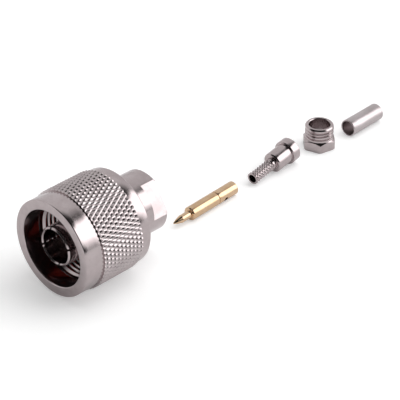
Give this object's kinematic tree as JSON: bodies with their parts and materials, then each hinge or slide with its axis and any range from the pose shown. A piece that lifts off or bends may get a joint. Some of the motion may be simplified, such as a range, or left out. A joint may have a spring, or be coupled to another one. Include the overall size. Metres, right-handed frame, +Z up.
{
  "type": "coaxial cable plug",
  "caption": "Coaxial cable plug with a knurled coupling nut, slotted outer contact and loose contact, ferrule, clamp nut and crimp sleeve.",
  "frame": {"origin": "under the middle of the laid-out kit, on the surface it rests on", "axes": "+Y along the line of pieces from the plug to the crimp sleeve, -Y the way the plug's mating end faces, +Z up"},
  "size_m": [0.0212, 0.0956, 0.0213],
  "materials": {
    "nut_nickel": "bright nickel plate",
    "body_nickel": "bright nickel plate",
    "contact_nickel": "bright nickel plate",
    "silicone": "satin",
    "spring_bronze": "satin",
    "ptfe": "waxy",
    "gold": "bright gold plate",
    "ferrule_nickel": "bright nickel plate",
    "clamp_nickel": "bright nickel plate",
    "sleeve_nickel": "bright nickel plate"
  },
  "bodies": {
    "kit": {"plug_body": "body_nickel", "outer_contact": "contact_nickel", "front_gasket": "silicone", "snap_ring": "spring_bronze", "insulator": "ptfe", "centre_contact": "gold", "braid_ferrule": "ferrule_nickel", "clamp_nut": "clamp_nickel", "crimp_sleeve": "sleeve_nickel"},
    "nut": {"coupling_nut": "nut_nickel"}
  },
  "joints": [
    {"name": "coupling_nut_spin", "type": "hinge", "parent": "kit", "child": "nut", "pos_m": [0, -0.03288, 0.01065], "axis": [0, -1, 0], "continuous": true}
  ]
}
